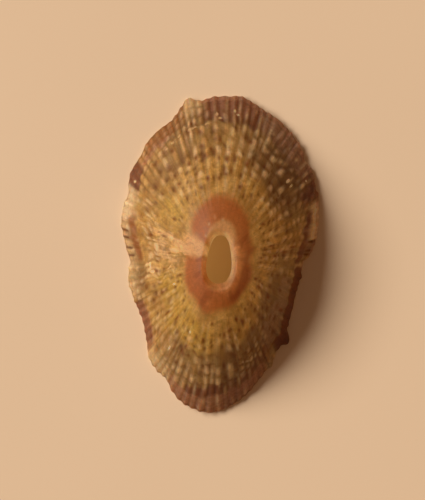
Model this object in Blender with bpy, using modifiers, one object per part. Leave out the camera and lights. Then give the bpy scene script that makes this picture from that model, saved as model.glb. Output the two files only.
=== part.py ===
"""Keyhole limpet shell at rest on its margin.

One grown piece: a low ribbed cone, open below, with the keyhole through its top.
+Z is up and the margin rests on Z = 0. +Y runs to the broad rear end and -Y to the narrow
front end. The origin is the middle of the resting outline. Everything is in metres.

A point of the wall has three coordinates, each from 0 to 1:
    turn    once round the shell, counter-clockwise from +X as seen from above
    growth  from the keyhole's lip out to the margin
    depth   from the outer surface in to the inner one
"""

import math

import bpy
import numpy as np

MM = 0.001

HEIGHT = 7.2 * MM
KEYHOLE_CENTRE = (-0.10 * MM, -0.36 * MM)
# The keyhole's clear opening, at the throat. It is narrower towards the rear.
KEYHOLE_WIDTH = 1.85 * MM
KEYHOLE_LENGTH = 3.65 * MM
KEYHOLE_LEAN = math.radians(-4)
KEYHOLE_TAPER = 0.14
KEYHOLE_SQUARENESS = 2.4
# How much wider than the throat the keyhole is at its outer lip and on the inside.
LIP_FLARE = 0.45 * MM
INNER_FLARE = 0.15 * MM
SIDE_FLARE_SHARE = 0.8
LIP_ROUNDING = 1.5
THROAT_DEPTH = 0.6
LIP_DEPTH = 0.25

# From the keyhole's centre to the margin, every 20 degrees of bearing from +X.
MARGIN_REACH = (
    7.05 * MM, 8.25 * MM, 9.75 * MM, 11.40 * MM, 12.70 * MM, 12.55 * MM,
    10.95 * MM, 9.30 * MM, 8.10 * MM, 7.15 * MM, 7.35 * MM, 7.80 * MM,
    9.95 * MM, 11.90 * MM, 11.10 * MM, 8.75 * MM, 7.30 * MM, 6.60 * MM,
)
# Tabs and chips of the margin: bearing, half width before it and after it, all in degrees, then
# how far the margin stands beyond that curve there, or short of it.
MARGIN_TABS = (
    (11, 6, 12, 0.12 * MM),
    (32, 4, 2.5, 0.15 * MM),
    (42, 4, 3, 0.10 * MM),
    (48.5, 2, 4, -0.18 * MM),
    (73, 4, 4, -0.15 * MM),
    (82, 2, 3, 0.17 * MM),
    (96.5, 3, 1.5, -0.15 * MM),
    (101, 2, 2, 0.38 * MM),
    (108, 3, 7, -0.42 * MM),
    (126, 2, 4, -0.12 * MM),
    (136, 4, 3, 0.12 * MM),
    (145, 4, 3, -0.20 * MM),
    (157, 5, 6, 0.10 * MM),
    (182, 5, 3, -0.13 * MM),
    (193, 5, 5, 0.13 * MM),
    (234.5, 3.5, 4, 0.20 * MM),
    (246, 3.5, 5, -0.33 * MM),
    (268, 6, 7, 0.25 * MM),
    (287, 6, 6, -0.17 * MM),
    (296, 1.5, 2.5, 0.28 * MM),
    (310.5, 4, 2.5, 0.65 * MM),
    (358, 8, 3, -0.33 * MM),
)
# The tabs and chips bend only the last stretch of growth.
TABS_START = 0.78

RIBS = 96
RIB_HEIGHT = 0.075 * MM
RIB_SCALLOP = 0.06 * MM
# Growth at which the ribs begin and at which they are fully grown.
RIBS_START = 0.12
RIBS_FULL = 0.45
# Main ribs alternate with weaker ones, and no two are quite alike.
MAIN_RIB = 1.15
WEAK_RIB = 0.75
RIB_VARIATION = 0.2
RIB_SEED = 4

FLANK_CURVE = 1.25
RIM_HEIGHT = 0.36 * MM
# Upright thickness of the wall at each growth, thickest in the callus round the keyhole.
# Near the margin it is more than the height above ground, which leaves the flat resting edge.
WALL_GROWTH = (0.00, 0.12, 0.20, 0.45, 1.00)
WALL_THICKNESS = (1.25 * MM, 1.25 * MM, 0.95 * MM, 0.85 * MM, 0.85 * MM)
# Ledges where growth once stopped: growth, then how far the surface steps down there.
LEDGES = ((0.585, 0.07 * MM), (0.805, 0.14 * MM))
LEDGE_RUN = 0.03
# The rows of equal growth wander in and out by this much, in so many lobes round the shell.
GROWTH_WANDER = 0.035
WANDER_LOBES = 3
WANDER_START = 1

COLUMNS = 2 * RIBS
BEARING_STEPS = 3600
BLANK_MERGE = 0.0001
SHARP_ANGLE = math.radians(50)
OUTER_GROWTH = (0.00, 0.04, 0.12, 0.22, 0.34, 0.46, 0.57, 0.60, 0.70, 0.79, 0.82, 0.90, 0.96, 1.00)
INNER_GROWTH = (1.00, 0.94, 0.86, 0.72, 0.55, 0.36, 0.20, 0.12)
# The wall's section, once round: down the outside, across the resting edge, up the inside, throat.
SECTION = (
    [(growth, 0.0) for growth in OUTER_GROWTH]
    + [(growth, 1.0) for growth in INNER_GROWTH]
    + [(0.0, 1.0), (0.0, THROAT_DEPTH), (0.0, LIP_DEPTH)]
)

# Colour zones of the outer surface, each out to its growth, then the inner surface.
ZONES = (
    ("rosy_ring", 0.24, (0.36, 0.12, 0.06), 0.45),
    ("speckled_flank", 0.84, (0.38, 0.24, 0.10), 0.50),
    ("purple_margin", 1.01, (0.17, 0.07, 0.05), 0.45),
)
INSIDE = ("porcelain_inside", (0.72, 0.58, 0.42), 0.30)


def clear_scene():
    for obj in list(bpy.data.objects):
        bpy.data.objects.remove(obj)


def closed_curve(values, turn):
    """A smooth closed curve through evenly spaced values, read at turn."""
    values = np.asarray(values)
    place = turn * len(values)
    start = np.floor(place).astype(int)
    t = place - start
    before, first, second, after = (values[(start + k) % len(values)] for k in (-1, 0, 1, 2))
    bend = 2 * before - 5 * first + 4 * second - after
    twist = 3 * (first - second) + after - before
    return first + 0.5 * t * (second - before + t * (bend + t * twist))


def margin_reach(bearing):
    """Distance from the keyhole's centre to the margin's main curve, along each bearing."""
    return closed_curve(MARGIN_REACH, bearing / math.tau % 1)


def tab_reach(bearing):
    """How far the tabs stand out beyond the main curve, and the chips short of it."""
    reach = np.zeros_like(bearing)
    for at, before, after, out in MARGIN_TABS:
        away = (np.degrees(bearing) - at + 180) % 360 - 180
        reach += out * np.exp(-((away / np.where(away < 0, before, after)) ** 2))
    return reach


def rib_bearing(turn):
    """Bearing at each turn. Equal turns take equal lengths of margin, so all ribs are as wide."""
    bearing = np.linspace(0, math.tau, BEARING_STEPS + 1)
    reach = margin_reach(bearing)
    steps = np.hypot(np.diff(reach * np.cos(bearing)), np.diff(reach * np.sin(bearing)))
    along = np.append(0, np.cumsum(steps))
    return np.interp(turn * along[-1], along, bearing)


def keyhole_reach(bearing, depth):
    """Distance of the keyhole's wall from its centre: flared at the lip, tightest at the throat."""
    above = np.clip(1 - depth / THROAT_DEPTH, 0, 1)
    below = np.clip((depth - THROAT_DEPTH) / (1 - THROAT_DEPTH), 0, 1)
    flare = LIP_FLARE * above**LIP_ROUNDING + INNER_FLARE * below
    taper = 1 - KEYHOLE_TAPER * np.sin(bearing)
    half_width = KEYHOLE_WIDTH / 2 * taper + SIDE_FLARE_SHARE * flare
    half_length = KEYHOLE_LENGTH / 2 + flare
    across = np.abs(np.cos(bearing - KEYHOLE_LEAN)) / half_width
    along = np.abs(np.sin(bearing - KEYHOLE_LEAN)) / half_length
    power = KEYHOLE_SQUARENESS
    return (across**power + along**power) ** (-1 / power)


def rib_profile(turn):
    """About 1 on each rib's crest and -1 in each groove."""
    strength = np.where(np.arange(RIBS) % 2, WEAK_RIB, MAIN_RIB)
    strength = strength + np.random.default_rng(RIB_SEED).uniform(-RIB_VARIATION, RIB_VARIATION, RIBS)
    nearest = np.round(turn * RIBS).astype(int) % RIBS
    return strength[nearest] * np.cos(turn * RIBS * math.tau)


def ledge_drop(growth):
    """How far the growth ledges have lowered the surface."""
    return sum(drop * np.clip((growth - at) / LEDGE_RUN + 0.5, 0, 1) for at, drop in LEDGES)


def outer_height(growth):
    """Height of the outer surface, without ribs."""
    fall = growth**FLANK_CURVE
    lowered = ledge_drop(growth) - fall * ledge_drop(np.array(1.0))
    return RIM_HEIGHT + (HEIGHT - RIM_HEIGHT) * (1 - fall) - lowered


def shell_points(turn, growth, depth):
    """Points of the shell at these coordinates of its wall."""
    bearing = rib_bearing(turn)
    wander = GROWTH_WANDER * np.sin(WANDER_LOBES * bearing + WANDER_START)
    grown = growth + wander * growth * (1 - growth)
    ribs = rib_profile(turn) * np.clip((growth - RIBS_START) / (RIBS_FULL - RIBS_START), 0, 1)
    ribs = ribs * (1 - depth)
    tabs = tab_reach(bearing) * np.clip((growth - TABS_START) / (1 - TABS_START), 0, 1) ** 2
    lip = keyhole_reach(bearing, depth)
    reach = lip + (margin_reach(bearing) - lip) * grown + tabs + RIB_SCALLOP * ribs
    top = outer_height(growth) + RIB_HEIGHT * ribs
    bottom = np.maximum(outer_height(growth) - np.interp(growth, WALL_GROWTH, WALL_THICKNESS), 0)
    height = top + (bottom - top) * depth
    x = KEYHOLE_CENTRE[0] + reach * np.cos(bearing)
    y = KEYHOLE_CENTRE[1] + reach * np.sin(bearing)
    return np.column_stack([x, y, height])


def turned_blank():
    """The section turned once round Z, as a mesh. In it the wall's coordinates can be read back:
    growth is the distance from the axis less 1 m, and depth is the distance below Z = 0."""
    count = len(SECTION)
    outline = bpy.data.meshes.new("section")
    outline.from_pydata(
        [(1 + growth, 0, -depth) for growth, depth in SECTION],
        [(i, (i + 1) % count) for i in range(count)],
        [],
    )
    blank = bpy.data.objects.new("blank", outline)
    bpy.context.scene.collection.objects.link(blank)
    screw = blank.modifiers.new("turn", "SCREW")
    screw.steps = screw.render_steps = COLUMNS
    screw.use_merge_vertices = True
    screw.merge_threshold = BLANK_MERGE
    graph = bpy.context.evaluated_depsgraph_get()
    mesh = bpy.data.meshes.new_from_object(blank.evaluated_get(graph))
    bpy.data.objects.remove(blank)
    return mesh


def wall_coordinates(points):
    """Turn, growth and depth of the blank's points."""
    x, y, z = points.T
    turn = np.round(np.arctan2(y, x) / math.tau * COLUMNS) / COLUMNS % 1
    return turn, np.clip(np.hypot(x, y) - 1, 0, 1), np.clip(-z, 0, 1)


def principled(name, colour, roughness):
    material = bpy.data.materials.new(name)
    material.use_nodes = True
    shader = material.node_tree.nodes["Principled BSDF"]
    shader.inputs["Base Color"].default_value = (*colour, 1)
    shader.inputs["Roughness"].default_value = roughness
    shader.inputs["Metallic"].default_value = 0
    return material


def colour_zones(mesh):
    """Gives the blank's faces their materials, by growth outside and one colour inside."""
    for name, _, colour, roughness in ZONES:
        mesh.materials.append(principled(name, colour, roughness))
    mesh.materials.append(principled(*INSIDE))
    for face in mesh.polygons:
        growth = math.hypot(face.center.x, face.center.y) - 1
        outside = face.center.z > -0.5 and growth > 0
        zone = next(i for i, (_, end, _, _) in enumerate(ZONES) if growth < end)
        face.material_index = zone if outside else len(ZONES)


def build_shell():
    mesh = turned_blank()
    mesh.name = "shell"
    colour_zones(mesh)
    points = np.empty(len(mesh.vertices) * 3, np.float32)
    mesh.vertices.foreach_get("co", points)
    turn, growth, depth = wall_coordinates(points.reshape(-1, 3).astype(float))
    mesh.vertices.foreach_set("co", shell_points(turn, growth, depth).ravel())
    mesh.update()
    mesh.shade_smooth()
    mesh.set_sharp_from_angle(angle=SHARP_ANGLE)
    shell = bpy.data.objects.new("shell", mesh)
    collection = bpy.data.collections.new("keyhole_limpet_shell")
    bpy.context.scene.collection.children.link(collection)
    collection.objects.link(shell)
    return shell


def main():
    clear_scene()
    build_shell()


main()
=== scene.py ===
"""The looks of the keyhole limpet shell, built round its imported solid.

Lengths are in metres. A point of the shell's wall has three coordinates, each from 0 to 1:
    turn    once round the shell, counter-clockwise from +X as seen from above
    growth  from the keyhole's lip out to the margin
    depth   from the outer surface in to the inner one
"""

import math

import bpy
import numpy as np
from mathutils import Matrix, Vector


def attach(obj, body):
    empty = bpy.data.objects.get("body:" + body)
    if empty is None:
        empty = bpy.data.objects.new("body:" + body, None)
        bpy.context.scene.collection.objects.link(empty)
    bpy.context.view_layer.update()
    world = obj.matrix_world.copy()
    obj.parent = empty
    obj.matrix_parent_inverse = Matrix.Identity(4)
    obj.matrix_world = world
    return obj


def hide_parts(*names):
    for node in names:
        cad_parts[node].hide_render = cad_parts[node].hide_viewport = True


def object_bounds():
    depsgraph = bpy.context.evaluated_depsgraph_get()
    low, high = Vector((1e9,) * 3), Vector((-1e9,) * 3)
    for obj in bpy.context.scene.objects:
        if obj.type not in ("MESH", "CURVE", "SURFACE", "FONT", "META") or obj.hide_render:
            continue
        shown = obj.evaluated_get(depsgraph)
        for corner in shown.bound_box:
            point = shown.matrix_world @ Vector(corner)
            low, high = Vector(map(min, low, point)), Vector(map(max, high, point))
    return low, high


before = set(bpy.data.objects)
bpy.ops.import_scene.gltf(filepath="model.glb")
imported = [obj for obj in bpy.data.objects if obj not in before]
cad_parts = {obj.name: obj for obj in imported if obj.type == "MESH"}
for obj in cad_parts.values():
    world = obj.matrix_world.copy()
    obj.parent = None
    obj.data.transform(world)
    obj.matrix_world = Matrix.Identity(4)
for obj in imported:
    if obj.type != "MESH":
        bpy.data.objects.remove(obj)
cad_low, cad_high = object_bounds()

MM = 0.001

# The shell's form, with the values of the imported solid.
HEIGHT = cad_high.z
KEYHOLE_CENTRE = (-0.10 * MM, -0.36 * MM)
KEYHOLE_WIDTH = 1.85 * MM
KEYHOLE_LENGTH = 3.65 * MM
KEYHOLE_LEAN = math.radians(-4)
KEYHOLE_TAPER = 0.14
KEYHOLE_SQUARENESS = 2.4
LIP_FLARE = 0.45 * MM
INNER_FLARE = 0.15 * MM
SIDE_FLARE_SHARE = 0.8
THROAT_DEPTH = 0.6

MARGIN_REACH = (
    7.05 * MM, 8.25 * MM, 9.75 * MM, 11.40 * MM, 12.70 * MM, 12.55 * MM,
    10.95 * MM, 9.30 * MM, 8.10 * MM, 7.15 * MM, 7.35 * MM, 7.80 * MM,
    9.95 * MM, 11.90 * MM, 11.10 * MM, 8.75 * MM, 7.30 * MM, 6.60 * MM,
)
MARGIN_TABS = (
    (11, 6, 12, 0.12 * MM),
    (32, 4, 2.5, 0.15 * MM),
    (42, 4, 3, 0.10 * MM),
    (48.5, 2, 4, -0.18 * MM),
    (73, 4, 4, -0.15 * MM),
    (82, 2, 3, 0.17 * MM),
    (96.5, 3, 1.5, -0.15 * MM),
    (101, 2, 2, 0.38 * MM),
    (108, 3, 7, -0.42 * MM),
    (126, 2, 4, -0.12 * MM),
    (136, 4, 3, 0.12 * MM),
    (145, 4, 3, -0.20 * MM),
    (157, 5, 6, 0.10 * MM),
    (182, 5, 3, -0.13 * MM),
    (193, 5, 5, 0.13 * MM),
    (234.5, 3.5, 4, 0.20 * MM),
    (246, 3.5, 5, -0.33 * MM),
    (268, 6, 7, 0.25 * MM),
    (287, 6, 6, -0.17 * MM),
    (296, 1.5, 2.5, 0.28 * MM),
    (310.5, 4, 2.5, 0.65 * MM),
    (358, 8, 3, -0.33 * MM),
)
TABS_START = 0.78

FLANK_CURVE = 1.25
RIM_HEIGHT = 0.36 * MM
WALL_GROWTH = (0.00, 0.12, 0.20, 0.45, 1.00)
WALL_THICKNESS = (1.25 * MM, 1.25 * MM, 0.95 * MM, 0.85 * MM, 0.85 * MM)
LEDGES = ((0.585, 0.07 * MM), (0.805, 0.14 * MM))
LEDGE_RUN = 0.03
LEDGE_WANDER = 0.02
GROWTH_WANDER = 0.035

# The photograph looks straight down. Its frame is 425 by 500 pixels.
FRAME_HEIGHT = 500
FRAME_CENTRE = (212.5, 250)
KEYHOLE_PIXEL = (219, 259)
METRES_PER_PIXEL = 25 * MM / 317
# In millimetres: the camera's lens, and its sensor along the frame's height.
LENS = 146
SENSOR = 36
CAMERA_PLACE = (
    KEYHOLE_CENTRE[0] + (FRAME_CENTRE[0] - KEYHOLE_PIXEL[0]) * METRES_PER_PIXEL,
    KEYHOLE_CENTRE[1] - (FRAME_CENTRE[1] - KEYHOLE_PIXEL[1]) * METRES_PER_PIXEL,
    FRAME_HEIGHT * METRES_PER_PIXEL * LENS / SENSOR,
)

# Relief of the outer surface, finer than the solid's.
RIBS = 96
RIB_HEIGHT = 0.15 * MM
RIB_SCALLOP = 0.10 * MM
RIBS_START = 0.16
RIBS_FULL = 0.92
# Every other rib only rises towards the margin, out of the groove between its neighbours.
WEAK_START = 0.58
WEAK_FULL = 0.92
# On the photograph's left they rise this much earlier.
WEAK_EARLIER = 0.38
# There they also bend, by up to about this many ribs.
RIB_BEND = 2.3
# The middle of that side is worn, so its relief is this much weaker.
LEFT_WORN = 0.35
MAIN_RIB = 1.05
WEAK_RIB = 0.85
RIB_VARIATION = 0.2
BEAD_ROWS = 12.5
BEAD_SHARE = 0.55
GROWTH_LINES = 30
GROWTH_LINE_HEIGHT = 0.009 * MM
LUMP_HEIGHT = 0.10 * MM
PIT_COLUMNS = 48
PIT_DEPTH = 0.035 * MM

COLUMNS = 720
# The margin's length is measured in so many steps.
MARGIN_STEPS = 3600
# Growth beyond this is the margin's own face.
MARGIN_START = 0.999
# Rows of the mesh down the outside: how many from one growth to the next.
OUTER_ROWS = ((0.00, 14), (0.24, 56), (0.80, 29), (1.00, 1))
EDGE_DEPTHS = (0.25, 0.5, 0.75)
INNER_ROWS = 20
# Growth in the middle of the resting edge, and at its inner side.
REST_MIDDLE = 0.97
RIM_START = 0.94
THROAT_ROWS = 9


def step(value, low, high):
    """0 below low, 1 above high and smooth in between. With low above high it falls instead."""
    t = np.clip((value - low) / (high - low), 0, 1)
    return t * t * (3 - 2 * t)


def sector(bearing, start, end, soft=2.0):
    """1 between two bearings in degrees, counter-clockwise, with edges so many degrees soft."""
    middle = (start + end) / 2
    away = np.abs((bearing - middle + 180) % 360 - 180)
    half = (end - start) / 2
    return step(away, half + soft, half - soft)


def patches(seed, across, along, turn, growth):
    """Smooth random patches between 0 and 1: so many round the shell, and so many out from the keyhole."""
    values = np.random.default_rng(seed).random((along + 2, across))
    u = turn * across
    v = growth * along
    i = np.floor(u).astype(int)
    j = np.floor(v).astype(int)
    a = u - i
    b = v - j
    a = a * a * (3 - 2 * a)
    b = b * b * (3 - 2 * b)
    near = values[j, i % across] * (1 - a) + values[j, (i + 1) % across] * a
    far = values[j + 1, i % across] * (1 - a) + values[j + 1, (i + 1) % across] * a
    return near * (1 - b) + far * b


def closed_curve(values, turn):
    """A smooth closed curve through evenly spaced values, read at turn."""
    values = np.asarray(values)
    place = turn * len(values)
    start = np.floor(place).astype(int)
    t = place - start
    before, first, second, after = (values[(start + k) % len(values)] for k in (-1, 0, 1, 2))
    bend = 2 * before - 5 * first + 4 * second - after
    twist = 3 * (first - second) + after - before
    return first + 0.5 * t * (second - before + t * (bend + t * twist))


def margin_reach(bearing):
    """Distance from the keyhole's centre to the margin's main curve, along each bearing."""
    return closed_curve(MARGIN_REACH, bearing / math.tau % 1)


def tab_reach(bearing):
    """How far the tabs stand out beyond the main curve, and the chips short of it."""
    reach = np.zeros_like(bearing)
    for at, before, after, out in MARGIN_TABS:
        away = (np.degrees(bearing) - at + 180) % 360 - 180
        reach += out * np.exp(-((away / np.where(away < 0, before, after)) ** 2))
    return reach


def rib_bearing(turn):
    """Bearing at each turn. Equal turns take equal lengths of margin, so all ribs are as wide."""
    bearing = np.linspace(0, math.tau, MARGIN_STEPS + 1)
    reach = margin_reach(bearing)
    steps = np.hypot(np.diff(reach * np.cos(bearing)), np.diff(reach * np.sin(bearing)))
    along = np.append(0, np.cumsum(steps))
    return np.interp(turn * along[-1], along, bearing)


def keyhole_reach(bearing, depth):
    """Distance of the keyhole's wall from its centre: flared at the lip, tightest at the throat."""
    above = np.clip(1 - depth / THROAT_DEPTH, 0, 1)
    below = np.clip((depth - THROAT_DEPTH) / (1 - THROAT_DEPTH), 0, 1)
    flare = LIP_FLARE * above**1.5 + INNER_FLARE * below
    taper = 1 - KEYHOLE_TAPER * np.sin(bearing)
    half_width = KEYHOLE_WIDTH / 2 * taper + SIDE_FLARE_SHARE * flare
    half_length = KEYHOLE_LENGTH / 2 + flare
    across = np.abs(np.cos(bearing - KEYHOLE_LEAN)) / half_width
    along = np.abs(np.sin(bearing - KEYHOLE_LEAN)) / half_length
    power = KEYHOLE_SQUARENESS
    return (across**power + along**power) ** (-1 / power)


def ledge_drop(growth):
    """How far the growth ledges have lowered the surface."""
    return sum(drop * np.clip((growth - at) / LEDGE_RUN + 0.5, 0, 1) for at, drop in LEDGES)


def outer_height(growth):
    """Height of the outer surface, without ribs."""
    fall = growth**FLANK_CURVE
    lowered = ledge_drop(growth) - fall * ledge_drop(np.array(1.0))
    return RIM_HEIGHT + (HEIGHT - RIM_HEIGHT) * (1 - fall) - lowered


def wall_section():
    """Growth and depth once round the wall: outside, resting edge, inside and throat."""
    rows = []
    for (start, count), (end, _) in zip(OUTER_ROWS, OUTER_ROWS[1:]):
        rows += [(growth, 0.0) for growth in np.linspace(start, end, count, endpoint=False)]
    rows.append((1.0, 0.0))
    rows += [(1.0, depth) for depth in EDGE_DEPTHS]
    rows += [(1.0, 1.0), (REST_MIDDLE, 1.0)]
    rows += [(growth, 1.0) for growth in np.linspace(RIM_START, 0.0, INNER_ROWS)]
    rows += [(0.0, depth) for depth in np.linspace(1, 0, THROAT_ROWS + 2)[1:-1]]
    return np.array(rows)


class Wall:
    """The shell's wall on a grid of rows, round its section, by columns, round its axis."""

    def __init__(self):
        growth, depth = wall_section().T
        self.turn = np.tile(np.arange(COLUMNS) / COLUMNS, (len(growth), 1))
        self.growth = np.tile(growth[:, None], (1, COLUMNS))
        self.depth = np.tile(depth[:, None], (1, COLUMNS))
        self.bearing = rib_bearing(self.turn)
        self.degrees = np.degrees(self.bearing)
        self.outside = 1 - self.depth
        # Bearings and growth that wander, so that the colours' edges do.
        wander = self.patches(26, 96, 4) - 0.5
        self.loose_degrees = self.degrees + 7 * wander
        self.near_degrees = self.degrees + 3 * wander
        broad, narrow = self.patches(21, 18, 6) - 0.5, self.patches(22, 96, 5) - 0.5
        self.loose_growth = self.growth + 0.07 * broad + 0.05 * narrow
        self.ledge_wander = LEDGE_WANDER * (self.patches(17, 30, 1) - 0.5)
        self.ribbing()
        self.pits()

    def patches(self, seed, across, along):
        return patches(seed, across, along, self.turn, self.growth)

    def ribbing(self):
        """Crests, beads and growth lines, each from 0 to 1."""
        rng = np.random.default_rng(4)
        bent = RIB_BEND * sector(self.degrees, 142, 200, 15) * step(self.growth, 0.92, 0.75)
        bent = bent * (self.patches(34, 64, 12) - 0.5)
        place = self.turn * RIBS + 0.9 * (self.patches(11, 40, 4) - 0.5) + bent
        nearest = np.round(place).astype(int) % RIBS
        self.nearest = nearest
        strength = np.where(np.arange(RIBS) % 2, WEAK_RIB, MAIN_RIB)
        strength = strength + rng.uniform(-RIB_VARIATION, RIB_VARIATION, RIBS)
        offset = rng.uniform(-0.45, 0.45, RIBS)
        main = 0.5 + 0.5 * np.cos(place * math.pi)
        each = 0.5 + 0.5 * np.cos(place * math.tau)
        early = WEAK_EARLIER * sector(self.degrees, 140, 245, 15)
        risen = step(self.growth + early + 0.1 * (self.patches(18, 40, 1) - 0.5), WEAK_START, WEAK_FULL)
        self.crest = main**1.3 * (1 - risen) + each * risen
        self.main = main
        self.risen = risen
        self.sharp_crest = each
        self.rows = BEAD_ROWS * self.growth + 1.9 * (self.patches(12, 18, 5) - 0.5)
        beads = 0.5 + 0.5 * np.cos((self.rows + offset[nearest]) * math.tau)
        self.bead = beads**0.8
        strength = strength[nearest] * (0.7 + 0.6 * self.patches(13, 60, 6))
        grown = step(self.growth, RIBS_START, RIBS_FULL)
        self.rib = (0.2 + 0.8 * grown) * step(self.growth, 0.12, 0.3) * strength * self.crest**0.8
        self.rib *= 1 - LEFT_WORN * sector(self.degrees, 142, 200, 14) * step(self.growth, 0.95, 0.8)
        self.mosaic(rng, place, offset[nearest])
        lines = np.sin((self.growth * GROWTH_LINES + 2.0 * self.patches(14, 20, 4)) * math.tau)
        self.line = lines * step(self.growth, 0.55, 0.9) * self.patches(15, 30, 8)

    def mosaic(self, rng, place, offset):
        """Pale beads on the ribs and dark dashes between them, each of its own strength."""
        count = int(BEAD_ROWS) + 5
        pale, dark = step(rng.random((2, count, RIBS)), 0.25, 1.0)
        pair = np.floor(place / 2 + 0.5).astype(int) * 2 % RIBS
        row = np.clip(np.floor(self.rows + offset + 0.5).astype(int) + 1, 0, count - 1)
        early = pale[row, pair] * self.main**1.2
        late = pale[row, self.nearest] * self.sharp_crest**0.7
        self.pale_bead = (early * (1 - self.risen) + late * self.risen) * (0.15 + 0.85 * self.bead)
        ridge = self.main * (1 - self.risen) + self.sharp_crest * self.risen
        self.dome = step(ridge * self.bead, 0.2, 0.75)
        between = (np.floor(place / 2).astype(int) * 2 + 1) % RIBS
        groove = np.floor(place).astype(int) % RIBS
        shift = rng.uniform(-0.5, 0.5, RIBS)[between]
        row = np.clip(np.floor(self.rows + shift + 0.5).astype(int) + 1, 0, count - 1)
        early = dark[row, between] * (1 - self.main) ** 1.5
        late = dark[row, groove] * (1 - self.sharp_crest) ** 1.5
        along = 0.5 + 0.5 * np.cos((self.rows + shift) * math.tau)
        self.dark_dash = (early * (1 - self.risen) + late * self.risen) * along

    def pits(self):
        """Dark pits between the ribs, in rows, with many left out at random."""
        rng = np.random.default_rng(8)
        rows = int(BEAD_ROWS) + 4
        chance = rng.random((rows, PIT_COLUMNS))
        shift = rng.uniform(-0.28, 0.28, (2, rows, PIT_COLUMNS))
        width = rng.uniform(0.16, 0.27, (rows, PIT_COLUMNS))
        length = rng.uniform(0.20, 0.36, (rows, PIT_COLUMNS))
        place = self.turn * PIT_COLUMNS
        row = self.rows + 1
        self.pit = np.zeros_like(self.turn)
        wanted = 0.95 * step(self.growth, 0.20, 0.36) * (1 - 0.65 * step(self.growth, 0.74, 0.90))
        for side in (-1, 0, 1):
            for up in (-1, 0, 1):
                i = (np.floor(place).astype(int) + side) % PIT_COLUMNS
                j = np.clip(np.floor(row).astype(int) + up, 0, rows - 1)
                x = place - np.floor(place) - side - 0.5 - shift[0][j, i]
                y = row - np.floor(row) - up - 0.5 - shift[1][j, i]
                strength = np.clip((chance[j, i] - 1 + wanted) / 0.5, 0, 1)
                spot = np.exp(-((x / width[j, i]) ** 2) - (y / length[j, i]) ** 2)
                self.pit = np.maximum(self.pit, strength * spot)
        self.pit *= self.outside

    def relief(self):
        """Height of the relief over the smooth outer surface."""
        share = BEAD_SHARE * (0.5 + 0.5 * step(self.growth, 0.4, 0.6))
        beaded = self.rib * (1 - share * (1 - self.bead))
        height = RIB_HEIGHT * (beaded - 0.4 * step(self.growth, RIBS_START, RIBS_FULL))
        height += GROWTH_LINE_HEIGHT * self.line
        height += LUMP_HEIGHT * (self.patches(16, 22, 7) - 0.5) * step(self.growth, 0.05, 0.3)
        height -= PIT_DEPTH * self.pit
        return height * self.outside

    def points(self):
        growth, depth, bearing = self.growth, self.depth, self.bearing
        grown = growth + GROWTH_WANDER * np.sin(3 * bearing + 1) * growth * (1 - growth)
        relief = self.relief()
        tabs = tab_reach(bearing) * np.clip((growth - TABS_START) / (1 - TABS_START), 0, 1) ** 2
        lip = keyhole_reach(bearing, depth)
        reach = lip + (margin_reach(bearing) - lip) * grown + tabs
        reach += RIB_SCALLOP / RIB_HEIGHT * relief
        ledged = growth + self.ledge_wander
        top = outer_height(growth) - ledge_drop(ledged) + ledge_drop(growth) + relief
        top = np.where(growth < 1, top, RIM_HEIGHT + relief)
        bottom = outer_height(growth) - np.interp(growth, WALL_GROWTH, WALL_THICKNESS)
        bottom = np.maximum(bottom, 0)
        height = top + (bottom - top) * depth
        x = KEYHOLE_CENTRE[0] + reach * np.cos(bearing)
        y = KEYHOLE_CENTRE[1] + reach * np.sin(bearing)
        return np.stack([x, y, height], axis=-1)


def tone(red, green, blue):
    """A colour given as the 0 to 255 values of a screen, as a shader takes it."""
    values = [value / 255 for value in (red, green, blue)]
    return (*(v / 12.92 if v <= 0.04045 else ((v + 0.055) / 1.055) ** 2.4 for v in values), 1)


# Stretches of colour: two bearings in degrees, the growths between which it lies, and its strength.
PURPLE = (
    (71, 97, 0.83, 1.1, 0.9),
    (92, 99, 0.85, 0.94, 0.7),
    (38, 68, 0.90, 1.1, 0.2),
    (31.5, 40, 0.80, 1.1, 1.0),
    (38, 48, 0.87, 1.1, 0.75),
    (2, 12, 0.86, 1.1, 0.8),
    (104, 130, 0.89, 1.1, 0.25),
    (129, 142.5, 0.83, 1.1, 0.88),
    (-4, 29, 0.83, 0.93, 1.0),
    (206, 231, 0.89, 1.1, 0.85),
    (254, 273, 0.78, 0.885, 0.85),
    (273, 303, 0.79, 0.95, 0.6),
    (303, 356, 0.88, 1.1, 1.0),
)
PINK = (
    (248, 291, 0.87, 1.1, 1.0),
    (112, 130, 0.84, 0.9, 0.8),
    (206, 231, 0.86, 1.1, 0.6),
    (39, 72, 0.84, 1.1, 0.6),
    (72, 97, 0.88, 1.1, 0.5),
)
PALE = (
    (98, 104, 0.91, 1.1, 1.0),
    (142, 157, 0.84, 1.1, 1.0),
    (157, 204, 0.93, 1.1, 0.9),
    (231, 247, 0.90, 1.1, 0.7),
    (292, 302, 0.92, 1.1, 0.5),
    (12, 31, 0.92, 1.1, 1.0),
    (2, 12, 0.94, 1.1, 0.3),
)
# Thin brown stripes across the pale margin, at these bearings.
STRIPES = (162.7, 166.7, 172.8, 177.5, 10.7, 5.5, 3.0)
STRIPE_HALF_WIDTH = 0.7
RUST = ((150, 181, 0.83, 0.92, 0.8), (104, 129, 0.87, 1.1, 0.6), (129, 142, 0.83, 1.1, 0.5))
# Paler margin stretches: the right one, on the side away from the light, is painted light; the left one is
# the shell's pale colour.
CLEAR_AND_PAINTED_LIGHT = ((12, 31, 0.92, 1.1, 0.75), (142, 157, 0.90, 1.1, 0.35))
GREY = (
    (30, 78, 0.57, 1.1, 1.0),
    (78, 125, 0.78, 1.1, 0.7),
    (56, 104, 0.60, 1.1, 0.4),
    (98, 150, 0.52, 1.1, 0.5),
    (-30, 12, 0.48, 1.1, 1.0),
    (12, 38, 0.55, 1.1, 0.4),
    (8, 34, 0.78, 0.94, 0.8),
    (38, 62, 0.48, 1.1, 1.0),
    (236, 330, 0.53, 1.1, 1.0),
    (192, 240, 0.46, 1.1, 0.35),
    (179, 206, 0.78, 1.0, 1.0),
    (125, 195, 0.84, 1.1, 0.7),
)
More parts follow.
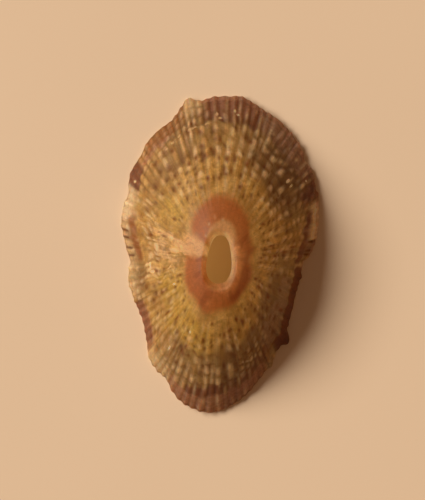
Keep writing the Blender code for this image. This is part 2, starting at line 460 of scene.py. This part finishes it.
# Stretches painted darker than the rest, mostly as painted shade on the side away from the light, and ones
# that are duller than the rest.
SHADED = (
    (38, 78, 0.45, 0.86, 0.9),
    (-15, 8, 0.45, 0.8, 0.35),
    (285, 338, 0.50, 1.1, 1.0),
    (266, 300, 0.80, 1.1, 0.6),
    (255, 300, 0.36, 0.62, 0.3),
    (155, 200, 0.58, 0.95, 0.4),
)
DUSKY = ((-12, 26, 0.84, 0.95, 0.3), (42, 74, 0.84, 1.1, 1.0), (298, 346, 0.66, 0.88, 0.7))
# Where thin whitish crests stand out.
WHITISH = ((58, 94, 0.70, 0.97, 0.5), (40, 78, 0.76, 1.1, 1.0))
# Marks where the photograph shows them: place in its pixels, half width and half length in pixels.
# The length runs outwards from the keyhole. First dark specks, then pale flecks, then white spots.
SPECKS = (
    (202, 146, 2.9, 2.4), (200, 132, 2.8, 2.4), (204, 156, 2.4, 2.6), (189, 164, 2.0, 2.6),
    (220, 139, 2.0, 4.0), (211, 149, 2.2, 2.4), (240, 187, 2.2, 2.6), (247, 164, 2.2, 3.0),
    (251, 142, 3.0, 2.2), (188, 132, 1.8, 2.4), (175, 176, 1.8, 1.8), (179, 184, 3.0, 1.6),
    (172, 151, 2.2, 2.2), (196, 158, 1.6, 2.2), (235, 160, 1.8, 2.6), (219, 158, 1.6, 2.4),
    (227, 159, 1.6, 2.4), (208, 178, 1.8, 2.0), (219, 178, 1.6, 2.2), (226, 174, 2.6, 1.8),
    (191, 124, 1.6, 2.2), (263, 224, 2.2, 2.0), (271, 246, 1.3, 3.4), (284, 252, 1.8, 3.0),
    (275, 256, 1.8, 2.4), (265, 250, 1.2, 3.0), (293, 247, 1.2, 4.0), (259, 287, 2.0, 2.8),
    (252, 293, 1.8, 2.6), (236, 319, 2.2, 2.6), (242, 321, 2.4, 2.4), (281, 310, 2.2, 2.2),
    (261, 258, 1.4, 2.0), (256, 279, 1.6, 1.6), (268, 297, 2.0, 1.8), (157, 271, 2.0, 1.8),
    (180, 275, 1.4, 2.6), (174, 219, 1.6, 2.0), (164, 236, 1.4, 2.6), (151, 235, 1.4, 2.6),
    (224, 335, 1.8, 3.0), (186, 346, 1.8, 2.8), (182, 350, 1.6, 3.2), (190, 100, 1.6, 1.4),
    (229, 331, 1.6, 2.4), (212, 324, 1.6, 2.4), (203, 340, 1.6, 2.2), (168, 312, 1.2, 3.6),
    (177, 318, 1.2, 4.0), (163, 292, 1.3, 3.0),
)
FLECKS = (
    (231, 371, 3.0, 6.5), (194, 389, 1.6, 7.5), (206, 384, 1.4, 7.0), (212, 374, 1.6, 6.5),
    (199, 366, 1.8, 5.0), (187, 371, 1.6, 5.0), (219, 384, 1.2, 5.0), (239, 380, 1.2, 5.0),
    (181, 362, 1.6, 4.0), (203, 402, 1.6, 4.0), (217, 400, 1.4, 4.5), (170, 346, 1.6, 4.0),
    (176, 336, 1.4, 3.6), (240, 108, 1.4, 5.0), (227, 105, 1.4, 8.0), (228, 146, 2.0, 2.6),
    (233, 143, 2.0, 2.4), (245, 128, 1.6, 4.5), (262, 140, 2.2, 2.2), (270, 133, 1.6, 3.0),
    (275, 160, 2.4, 2.2), (283, 171, 2.4, 1.8), (255, 176, 3.0, 2.8), (267, 152, 2.4, 2.2),
    (252, 149, 2.2, 2.6),
    (223, 219.5, 1.6, 1.4), (209, 224, 1.4, 1.2), (215, 217, 1.2, 1.2), (206, 236, 1.2, 1.2),
    (243, 362, 1.0, 1.2), (248, 361, 2.4, 0.9), (271, 131, 1.4, 2.4), (274, 134, 1.6, 2.0),
    (265, 143, 2.6, 3.0), (301, 168, 1.4, 1.8), (281, 162, 2.2, 2.0), (247, 116, 1.4, 4.0),
    (264, 119, 1.4, 3.0), (290, 148, 1.2, 2.0), (296, 160, 1.2, 2.0), (257, 112, 1.2, 2.6),
)
WHITE_SPOTS = (
    (135, 181.5, 1.4, 1.4), (217, 114, 1.2, 2.4), (220, 118, 2.2, 1.0), (235, 111, 1.2, 1.6),
    (238, 115, 1.6, 1.0), (150.3, 265.5, 3.8, 0.9), (152.5, 271.5, 1.8, 2.6),
    (169, 348, 1.0, 2.6), (190, 332, 1.2, 1.4), (288, 181, 1.6, 2.6), (291, 186, 1.2, 2.2),
    (306, 181, 1.0, 1.0), (174, 284, 1.2, 1.6),
)


def stretches(table, degrees, growth, soft_degrees=3.0, soft_growth=0.03):
    """1 inside any of a table's stretches, and less towards their edges."""
    mask = np.zeros_like(growth)
    for start, end, inner, outer, strength in table:
        across = step(growth, inner - soft_growth, inner + soft_growth)
        across = across * step(growth, outer + soft_growth, outer - soft_growth)
        mask = np.maximum(mask, strength * sector(degrees, start, end, soft_degrees) * across)
    return mask


def marks(table, wall):
    """1 at each mark of a table and less around it, seen from the camera's place."""
    x, y, z = np.moveaxis(wall.points(), -1, 0)
    size = METRES_PER_PIXEL * (1 - z / CAMERA_PLACE[2])
    right = FRAME_CENTRE[0] + (x - CAMERA_PLACE[0]) / size
    down = FRAME_CENTRE[1] - (y - CAMERA_PLACE[1]) / size
    mask = np.zeros_like(x)
    for at_right, at_down, half_width, half_length in table:
        out = math.atan2(KEYHOLE_PIXEL[1] - at_down, at_right - KEYHOLE_PIXEL[0])
        along = (right - at_right) * math.cos(out) + (at_down - down) * math.sin(out)
        across = (at_down - down) * math.cos(out) - (right - at_right) * math.sin(out)
        mask = np.maximum(mask, np.exp(-((across / half_width) ** 2) - (along / half_length) ** 2))
    return mask


def shaded_keyhole_wall(wall):
    """The keyhole's wall on the side away from the light, which keeps the ring's darker colour deeper down
    than the other side, as painted shade.
    """
    return 0.7 * sector(wall.degrees, 135, 300, 20) * (wall.growth <= 0)


def keyhole_masks(wall):
    """The colours of the keyhole's lip and wall, and of the ring round it."""
    growth, outside, degrees = wall.growth, wall.outside, wall.loose_degrees
    masks = {}
    right = sector(wall.degrees, -60, 95, 30)
    top = sector(wall.degrees, 62, 122, 20)
    low = sector(wall.degrees, 240, 300, 16)
    thickened = 0.15 + 0.35 * right + 0.8 * top + 0.35 * low
    masks["callus"] = step(growth, 0.02 + 0.08 * right + 0.04 * top + 0.03 * low, 0.0) * thickened
    # The throat's pale colour, laid on its lit side only: partly the callus, partly painted light.
    masks["cream_and_painted_light"] = np.where(growth <= 0, step(wall.depth, 0.0, 0.25), 0)
    masks["cream_and_painted_light"] *= sector(wall.degrees, -62, 112, 14)
    ring_growth = growth + 0.06 * (wall.patches(21, 18, 6) - 0.5)
    ring_growth = ring_growth + 0.05 * sector(degrees, 235, 310, 25) + 0.06 * sector(degrees, 22, 46, 10)
    ring = step(ring_growth, 0.32, 0.14)
    gap = sector(wall.degrees + 10 * (wall.patches(29, 24, 20) - 0.5), 137, 171, 20)
    faded = np.maximum(0.25 * sector(degrees, -14, 22, 20), 0.12 * sector(degrees, 105, 130, 25))
    # Painted shade: the ring's colour carried down the side of the wall away from the light.
    wall_in_shade = shaded_keyhole_wall(wall)
    masks["ring"] = ring * (1 - gap) * (1 - faded) * np.maximum(outside, wall_in_shade)
    # Painted shade: the ring darker on the side away from the light.
    masks["ring_painted_shade"] = masks["ring"] * sector(degrees, -80, 40, 35) * (1 - 0.5 * sector(degrees, -12, 24, 25))
    masks["ring_painted_shade"] *= step(growth, 0.02, 0.14)
    # The shaded wall below the gap is painted paler too, though less, as painted light against its shade.
    painted_wall_light = 0.55 * sector(wall.degrees, 168, 232, 14) * (growth <= 0)
    masks["gap"] = np.maximum(ring * gap, painted_wall_light) * np.maximum(outside, 0.6 * wall_in_shade)
    masks["bloom"] = masks["ring"] * step(wall.patches(40, 22, 9), 0.45, 0.95)
    masks["blush"] = masks["ring"] * step(wall.patches(41, 30, 14), 0.5, 0.95) * (1 - 0.6 * top)
    return masks


def flank_masks(wall):
    """The colours of the flanks, and of their ribs, beads and pits."""
    growth, outside, degrees, loose = wall.growth, wall.outside, wall.loose_degrees, wall.loose_growth
    masks = {}
    yellow = np.maximum(sector(degrees, 195, 262, 14), 0.7 * sector(degrees, 118, 150, 12))
    masks["yellow"] = yellow * step(loose, 0.20, 0.34) * step(loose, 0.72, 0.55) * outside
    rays = np.maximum(sector(degrees, 148, 186, 9), 0.2 * sector(degrees, -12, 24, 8))
    rays = rays * step(loose, 0.8, 0.5)
    bent = wall.turn + 0.012 * (wall.patches(30, 40, 12) - 0.5)
    streaks = step(patches(23, 130, 10, bent, growth), 0.25, 0.75)
    masks["rays"] = rays * (0.35 + 0.65 * streaks) * step(loose, 0.10, 0.24) * outside
    masks["grey"] = stretches(GREY, degrees, loose, 14, 0.09) * (1 - 0.8 * rays) * outside
    beaded = np.maximum(0.5 * sector(degrees, 15, 70, 12), 0.45 * sector(degrees, 70, 125, 8))
    calm = 0.85 * sector(degrees, 140, 246, 16)
    # The marks are weaker on the shaded side, right of the narrow end.
    quiet = 1 - 0.6 * sector(degrees, 302, 352, 12) * step(growth, 0.42, 0.62)
    ribbed = (0.1 + 0.9 * step(loose, 0.5, 0.8)) * (1 - 0.6 * rays) * (1 - beaded) * (1 - calm) * quiet
    masks["crest"] = np.clip(wall.rib * (0.35 + 0.65 * wall.bead), 0, 1) * ribbed * outside
    masks["groove"] = step(wall.crest, 0.4, 0.0) * step(growth, 0.25, 0.5) * ribbed * outside
    masks["row"] = step(wall.bead, 0.45, 0.0) * masks["grey"] * (0.8 * beaded + wall.patches(27, 60, 9))
    masks["row"] *= 1 - calm
    flank = step(growth, 0.2, 0.45) * quiet * outside
    stroked = sector(degrees, 142, 205, 12)
    masks["pale_bead"] = wall.pale_bead * flank * (1 + beaded + 0.6 * stroked)
    masks["dark_dash"] = wall.dark_dash * flank * (1 - 0.5 * masks["grey"]) * (1 + 0.5 * stroked)
    beads = 2 * beaded * step(growth, 0.42, 0.6) * step(growth, 0.95, 0.8) * outside
    masks["top_bead"] = wall.dome * beads * step(wall.patches(37, 48, 10), 0.2, 0.8)
    # Painted shade in the hollows round the domes.
    masks["shade_round_domes"] = (1 - wall.dome) * beads * step(wall.patches(38, 24, 6), 0.2, 0.7)
    # Brown over the side away from the light, with the darker stretches: partly the shell's colour, partly
    # painted shade.
    umber_and_painted_shade = sector(degrees, 268, 350, 14) * (0.4 + 0.6 * step(loose, 0.35, 0.55))
    shaded = 0.6 * stretches(SHADED, degrees, loose, 10, 0.08)
    # More painted shade on the side away from the light.
    shaded = shaded + 0.3 * sector(degrees, 276, 296, 8) * step(loose, 0.5, 0.7)
    shaded = shaded + 0.35 * sector(degrees, 42, 60, 6) * step(loose, 0.66, 0.8)
    umber_and_painted_shade = np.maximum(umber_and_painted_shade * wall.patches(33, 24, 6), shaded)
    masks["umber_and_painted_shade"] = umber_and_painted_shade * step(growth, 0.2, 0.32) * outside
    masks["pit"] = wall.pit * (1 - 0.5 * sector(degrees, 142, 200, 12))
    masks["speck"] = marks(SPECKS, wall) * outside
    return masks


def margin_masks(wall):
    """The colours along the margin, and the whitish marks."""
    growth, outside, degrees, loose = wall.growth, wall.outside, wall.loose_degrees, wall.loose_growth
    masks = {}
    purple = stretches(PURPLE, wall.near_degrees, loose) * (0.72 + 0.28 * wall.patches(24, 60, 9))
    masks["purple"] = purple * (1 - 0.1 * wall.sharp_crest * sector(wall.degrees, 40, 98, 6)) * outside
    masks["pink"] = stretches(PINK, degrees, loose) * outside
    masks["dusky"] = stretches(DUSKY, degrees, loose, 6, 0.06) * outside
    masks["pale"] = stretches(PALE, wall.near_degrees, loose, 1.5, 0.06) * outside
    # Painted light on the shaded right margin, and pale colour on the left.
    masks["clear"] = stretches(CLEAR_AND_PAINTED_LIGHT, wall.near_degrees, loose, 1.5, 0.05) * outside
    masks["rust"] = stretches(RUST, degrees, loose, 7, 0.035) * outside
    masks["rust"] *= 0.8 + 0.2 * wall.patches(39, 60, 9)
    stripes = np.zeros_like(growth)
    for at in STRIPES:
        away = np.abs((wall.degrees - at + 180) % 360 - 180)
        stripes = np.maximum(stripes, step(away, 2 * STRIPE_HALF_WIDTH, 0))
    masks["stripes"] = stripes * step(growth, 0.89, 0.93) * outside
    shaded_side = sector(wall.degrees, -8, 100, 6)
    edge = step(growth, 0.975, 0.99) * (0.3 + 0.7 * wall.patches(32, 40, 1))
    masks["edge"] = edge * (1 - shaded_side) * outside
    masks["rim"] = step(growth, 0.955, 0.985) * shaded_side * outside
    masks["line"] = step(wall.line, 0.05, 0.4) * step(growth, 0.8, 0.88) * (1 - masks["purple"]) * outside
    chosen = np.random.default_rng(31).random(RIBS)[wall.nearest]
    whitish = stretches(WHITISH, degrees, loose, 6, 0.06) * step(wall.sharp_crest, 0.5, 0.9)
    whitish = whitish * step(chosen, 0.25, 0.7) * step(wall.patches(28, 96, 12), 0.35, 0.65)
    masks["whitish"] = np.maximum(whitish, marks(FLECKS, wall)) * outside
    ledge = np.exp(-(((growth - 0.80 - wall.ledge_wander) / 0.012) ** 2))
    scratched = ledge * np.maximum(sector(degrees, 96, 116, 4), 0.25 * sector(degrees, 285, 305, 4))
    masks["scratch"] = scratched * step(wall.patches(25, 150, 12), 0.35, 0.6) * outside
    # White spots, at the marks listed last.
    masks["white_spot"] = step(marks(WHITE_SPOTS, wall), 0.25, 0.75) * outside
    return masks


def inner_masks(wall):
    """The colours of the inner surface: its pale lining, the muscle's scar and a darker hem."""
    growth = wall.growth
    covered = growth < MARGIN_START
    masks = {}
    # The lining starts deeper on the keyhole's wall away from the light, where the ring's colour is
    # painted as shade.
    masks["inside"] = step(wall.depth - 0.25 * shaded_keyhole_wall(wall), 0.45, 0.75) * np.where(covered, 1, 0.35)
    lining = step(wall.depth, 0.8, 1.0) * covered
    scar = step(growth, 0.50, 0.54) * step(growth, 0.64, 0.60) * sector(wall.degrees, -62, 242, 10)
    masks["scar"] = lining * scar
    hem = step(growth + 0.05 * (wall.patches(35, 60, 4) - 0.5), 0.86, 0.96)
    masks["hem"] = lining * hem * (0.25 + 0.75 * step(wall.patches(36, 30, 1), 0.3, 0.7))
    return masks


def colour_masks(wall):
    """How strongly each colour shows at each point, from 0 to 1."""
    return keyhole_masks(wall) | flank_masks(wall) | margin_masks(wall) | inner_masks(wall)


def shell_mesh(wall, masks):
    """A closed mesh of the wall's grid, with each colour's strength as an attribute of its points."""
    rows, columns = wall.turn.shape
    index = np.arange(rows * columns).reshape(rows, columns)
    below = np.roll(index, -1, axis=0)
    faces = np.stack([index, below, np.roll(below, -1, axis=1), np.roll(index, -1, axis=1)], axis=-1)
    mesh = bpy.data.meshes.new("limpet_shell")
    mesh.from_pydata(wall.points().reshape(-1, 3), [], faces.reshape(-1, 4))
    mesh.shade_smooth()
    for name, strength in masks.items():
        layer = mesh.attributes.new(name, "FLOAT", "POINT")
        layer.data.foreach_set("value", strength.astype(np.float32).ravel())
    grain = mesh.attributes.new("grain", "FLOAT_VECTOR", "POINT")
    across = np.stack([np.cos(wall.turn * math.tau), np.sin(wall.turn * math.tau), wall.growth], axis=-1)
    grain.data.foreach_set("vector", across.astype(np.float32).ravel())
    mesh.update()
    return mesh


class Graph:
    """Short ways to add nodes to a material."""

    def __init__(self, name):
        self.material = bpy.data.materials.new(name)
        self.material.use_nodes = True
        self.nodes = self.material.node_tree.nodes
        self.links = self.material.node_tree.links
        self.shader = self.nodes["Principled BSDF"]

    def feed(self, socket, value):
        if isinstance(value, bpy.types.NodeSocket):
            self.links.new(value, socket)
        else:
            socket.default_value = value

    def attribute(self, name, output="Fac"):
        node = self.nodes.new("ShaderNodeAttribute")
        node.attribute_name = name
        return node.outputs[output]

    def position(self):
        return self.nodes.new("ShaderNodeTexCoord").outputs["Object"]

    def stretched(self, vector, scale):
        node = self.nodes.new("ShaderNodeMapping")
        self.feed(node.inputs["Vector"], vector)
        node.inputs["Scale"].default_value = scale
        return node.outputs["Vector"]

    def noise(self, vector, scale, detail=3.0, roughness=0.55):
        node = self.nodes.new("ShaderNodeTexNoise")
        self.feed(node.inputs["Vector"], vector)
        node.inputs["Scale"].default_value = scale
        node.inputs["Detail"].default_value = detail
        node.inputs["Roughness"].default_value = roughness
        return node.outputs["Fac"]

    def sharpen(self, value, low, high, to_low=0.0, to_high=1.0):
        node = self.nodes.new("ShaderNodeMapRange")
        node.interpolation_type = "SMOOTHSTEP"
        self.feed(node.inputs["Value"], value)
        node.inputs["From Min"].default_value = low
        node.inputs["From Max"].default_value = high
        node.inputs["To Min"].default_value = to_low
        node.inputs["To Max"].default_value = to_high
        return node.outputs["Result"]

    def compute(self, operation, first, second):
        node = self.nodes.new("ShaderNodeMath")
        node.operation = operation
        self.feed(node.inputs[0], first)
        self.feed(node.inputs[1], second)
        return node.outputs["Value"]

    def blend(self, strength, under, over):
        node = self.nodes.new("ShaderNodeMix")
        self.feed(node.inputs["Factor"], strength)
        self.feed(node.inputs["A"], under)
        self.feed(node.inputs["B"], over)
        return node.outputs["Result"]

    def mix(self, strength, under, over, blend="MIX"):
        node = self.nodes.new("ShaderNodeMix")
        node.data_type = "RGBA"
        node.blend_type = blend
        self.feed(node.inputs["Factor"], strength)
        self.feed(node.inputs["A"], under)
        self.feed(node.inputs["B"], over)
        return node.outputs["Result"]


TAN = tone(194, 158, 100)
TAN_DARK = tone(163, 125, 72)
# Colours laid over the tan, from the first to the last: mask, colour, strength and how broken up.
PAINT = (
    ("yellow", tone(184, 152, 78), 0.70, 0.35),
    ("grey", tone(136, 107, 73), 0.72, 0.30),
    # The next colour is partly the shell's brown, partly painted shade on the side away from the light.
    ("umber_and_painted_shade", tone(112, 79, 49), 0.75, 0.30),
    ("rays", tone(224, 188, 150), 0.58, 0.20),
    ("ring", tone(162, 96, 52), 0.92, 0.32),
    # The next colour is painted shade on the ring, on the side away from the light.
    ("ring_painted_shade", tone(116, 52, 18), 0.62, 0.30),
    ("bloom", tone(196, 136, 92), 0.40, 0.25),
    ("blush", tone(120, 58, 30), 0.40, 0.25),
    # The next colour is the ring's pale gap, and also painted light on the keyhole's shaded wall.
    ("gap", tone(210, 166, 126), 0.75, 0.15),
    ("pale_bead", tone(228, 202, 170), 0.46, 0.0),
    ("dark_dash", tone(128, 80, 36), 0.40, 0.0),
    ("crest", tone(220, 182, 128), 0.25, 0.25),
    ("groove", tone(104, 64, 32), 0.28, 0.25),
    ("row", tone(104, 64, 32), 0.40, 0.20),
    ("purple", tone(112, 64, 46), 0.88, 0.25),
    ("pink", tone(156, 110, 88), 0.70, 0.25),
    ("dusky", tone(148, 118, 106), 0.46, 0.20),
    ("line", tone(200, 166, 128), 0.12, 0.20),
    ("pit", tone(100, 50, 18), 0.70, 0.0),
    ("speck", tone(112, 52, 14), 0.82, 0.0),
    ("pale", tone(206, 178, 142), 0.74, 0.0),
    # The next colour is partly painted light, on the margin's shaded right.
    ("clear", tone(236, 218, 200), 0.60, 0.0),
    ("rust", tone(140, 84, 44), 0.88, 0.20),
    # The next colour is painted shade round the domes.
    ("shade_round_domes", tone(100, 70, 42), 0.30, 0.0),
    ("top_bead", tone(188, 152, 118), 0.28, 0.0),
    ("stripes", tone(96, 54, 22), 0.95, 0.0),
    ("edge", tone(120, 80, 44), 0.40, 0.20),
    ("rim", tone(176, 132, 104), 0.45, 0.20),
    ("whitish", tone(212, 188, 152), 0.50, 0.0),
    ("scratch", tone(226, 200, 160), 0.50, 0.20),
    ("callus", tone(196, 160, 116), 0.60, 0.10),
    # The next colour is partly painted light, on the lit side of the keyhole's throat.
    ("cream_and_painted_light", tone(238, 214, 172), 0.36, 0.0),
    ("inside", tone(240, 226, 206), 1.0, 0.0),
    ("scar", tone(206, 178, 142), 0.60, 0.15),
    ("hem", tone(150, 108, 82), 0.60, 0.25),
    # The next colour is for the white spots.
    ("white_spot", tone(246, 222, 186), 0.9, 0.0),
)
# Light that comes through the wall: its tint, and its share, at the outer and the inner surface.
OUTER_GLOW = (2.25, 3.1, 4.1, 1)
INNER_GLOW = (0.97, 0.85, 0.62, 1)
OUTER_SHARE = 0.50
INNER_SHARE = 0.70
ROUGHNESS = 0.52
INSIDE_ROUGHNESS = 0.28
SUBSURFACE_RADIUS = (1.0, 0.45, 0.2)
SUBSURFACE_SCALE = 1.0 * MM
BUMP_STRENGTH = 0.35
BUMP_DISTANCE = 0.02 * MM
# Noise cells per metre, and streaks round the shell and out from the keyhole.
MOTTLE_SCALE = 900
FINE_SCALE = 4200
STREAK_SCALE = (60, 60, 4)


def shell_material():
    graph = Graph("limpet_shell")
    place = graph.position()
    grain = graph.attribute("grain", "Vector")
    mottle = graph.noise(place, MOTTLE_SCALE, 4)
    fine = graph.noise(place, FINE_SCALE, 3, 0.6)
    radial = graph.noise(graph.stretched(grain, STREAK_SCALE), 1.0, 3)
    half_mottle = graph.compute("MULTIPLY", mottle, 0.5)
    half_fine = graph.compute("MULTIPLY", fine, 0.5)
    breakup = graph.compute("ADD", half_mottle, half_fine)
    colour = graph.mix(graph.sharpen(mottle, 0.35, 0.65), TAN_DARK, TAN)
    for name, over, strength, broken in PAINT:
        mask = graph.attribute(name)
        if broken:
            shift = graph.compute("MULTIPLY", graph.compute("SUBTRACT", breakup, 0.5), 2 * broken)
            shifted = graph.sharpen(graph.compute("ADD", mask, shift), 0.15, 0.85)
            mask = graph.compute("MULTIPLY", shifted, graph.sharpen(mask, 0.0, 0.15))
        colour = graph.mix(graph.compute("MULTIPLY", mask, strength), colour, over)
    outside = graph.compute("SUBTRACT", 1.0, graph.attribute("inside"))
    shade = graph.sharpen(fine, 0.3, 0.7, 0.86, 1.12)
    streak = graph.sharpen(radial, 0.3, 0.7, 0.90, 1.08)
    shade = graph.compute("MULTIPLY", shade, streak)
    shade = graph.blend(graph.compute("MULTIPLY", graph.attribute("ring"), 0.3), shade, 1.0)
    varied = graph.mix(1.0, colour, shade, "MULTIPLY")
    colour = graph.mix(outside, colour, varied)
    shader = graph.shader
    graph.feed(shader.inputs["Base Color"], colour)
    rough = graph.sharpen(fine, 0.3, 0.7, ROUGHNESS - 0.07, ROUGHNESS + 0.10)
    smoother = graph.compute("MULTIPLY", graph.attribute("inside"), ROUGHNESS - INSIDE_ROUGHNESS)
    rough = graph.compute("SUBTRACT", rough, smoother)
    graph.feed(shader.inputs["Roughness"], rough)
    shader.inputs["Subsurface Weight"].default_value = 1.0
    shader.inputs["Subsurface Radius"].default_value = SUBSURFACE_RADIUS
    shader.inputs["Subsurface Scale"].default_value = SUBSURFACE_SCALE
    bump = graph.nodes.new("ShaderNodeBump")
    bump.inputs["Strength"].default_value = BUMP_STRENGTH
    bump.inputs["Distance"].default_value = BUMP_DISTANCE
    graph.feed(bump.inputs["Height"], graph.compute("MULTIPLY", fine, outside))
    graph.feed(shader.inputs["Normal"], bump.outputs["Normal"])
    through = graph.nodes.new("ShaderNodeBsdfTranslucent")
    glow = graph.mix(1.0, colour, OUTER_GLOW, "MULTIPLY")
    graph.feed(through.inputs["Color"], graph.mix(graph.attribute("inside"), glow, INNER_GLOW))
    share = graph.sharpen(graph.attribute("inside"), 0.0, 1.0, OUTER_SHARE, INNER_SHARE)
    both = graph.nodes.new("ShaderNodeMixShader")
    graph.feed(both.inputs["Fac"], share)
    graph.feed(both.inputs[1], shader.outputs["BSDF"])
    graph.feed(both.inputs[2], through.outputs["BSDF"])
    graph.feed(graph.nodes["Material Output"].inputs["Surface"], both.outputs["Shader"])
    return graph.material


def add_shell():
    wall = Wall()
    shell = bpy.data.objects.new("limpet_shell", shell_mesh(wall, colour_masks(wall)))
    bpy.context.scene.collection.objects.link(shell)
    shell.data.materials.append(shell_material())
    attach(shell, "root")
    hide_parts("shell")


FLOOR_SIZE = 3.0
FLOOR_GAP = 0.01 * MM
FLOOR_TONES = (tone(232, 208, 181), tone(234, 210, 183))
FLOOR_CLOUD_SCALE = 25
FLOOR_ROUGHNESS = 0.6


def add_floor():
    mesh = bpy.data.meshes.new("floor")
    half = FLOOR_SIZE / 2
    corners = [(x, y, -FLOOR_GAP) for x, y in ((-half, -half), (half, -half), (half, half), (-half, half))]
    mesh.from_pydata(corners, [], [(0, 1, 2, 3)])
    floor = bpy.data.objects.new("floor", mesh)
    bpy.context.scene.collection.objects.link(floor)
    graph = Graph("floor")
    cloudy = graph.noise(graph.position(), FLOOR_CLOUD_SCALE, 2)
    colour = graph.mix(graph.sharpen(cloudy, 0.3, 0.7), *FLOOR_TONES)
    graph.feed(graph.shader.inputs["Base Color"], colour)
    graph.shader.inputs["Roughness"].default_value = FLOOR_ROUGHNESS
    mesh.materials.append(graph.material)


def add_camera():
    """Looks straight down, so that the margin's plane has the photograph's scale and place."""
    data = bpy.data.cameras.new("camera")
    data.sensor_width = SENSOR
    data.lens = LENS
    data.clip_start = 1 * MM
    data.clip_end = 10
    camera = bpy.data.objects.new("camera", data)
    camera.location = CAMERA_PLACE
    bpy.context.scene.collection.objects.link(camera)
    bpy.context.scene.camera = camera


# One broad light, up and to the left in the photograph, and a weak warm one from all round.
KEY_BEARING = math.radians(160)
KEY_ELEVATION = math.radians(37)
KEY_DISTANCE = 4.0
KEY_WIDTH = 4.0
KEY_HEIGHT = 1.5
KEY_POWER = 213
KEY_COLOUR = (1.0, 0.90, 0.76)
FILL_COLOUR = (1.0, 0.56, 0.31)
FILL_STRENGTH = 0.17


def add_light():
    direction = Vector((
        math.cos(KEY_ELEVATION) * math.cos(KEY_BEARING),
        math.cos(KEY_ELEVATION) * math.sin(KEY_BEARING),
        math.sin(KEY_ELEVATION),
    ))
    data = bpy.data.lights.new("key", "AREA")
    data.shape = "ELLIPSE"
    data.size = KEY_WIDTH
    data.size_y = KEY_HEIGHT
    data.energy = KEY_POWER
    data.color = KEY_COLOUR
    key = bpy.data.objects.new("key", data)
    key.location = Vector((0, 0, HEIGHT / 2)) + direction * KEY_DISTANCE
    key.rotation_euler = direction.to_track_quat("Z", "Y").to_euler()
    bpy.context.scene.collection.objects.link(key)
    world = bpy.data.worlds.new("world")
    world.use_nodes = True
    background = world.node_tree.nodes["Background"]
    background.inputs["Color"].default_value = (*FILL_COLOUR, 1)
    background.inputs["Strength"].default_value = FILL_STRENGTH
    bpy.context.scene.world = world
    bpy.context.scene.view_settings.view_transform = "Standard"


add_shell()
add_floor()
add_camera()
add_light()
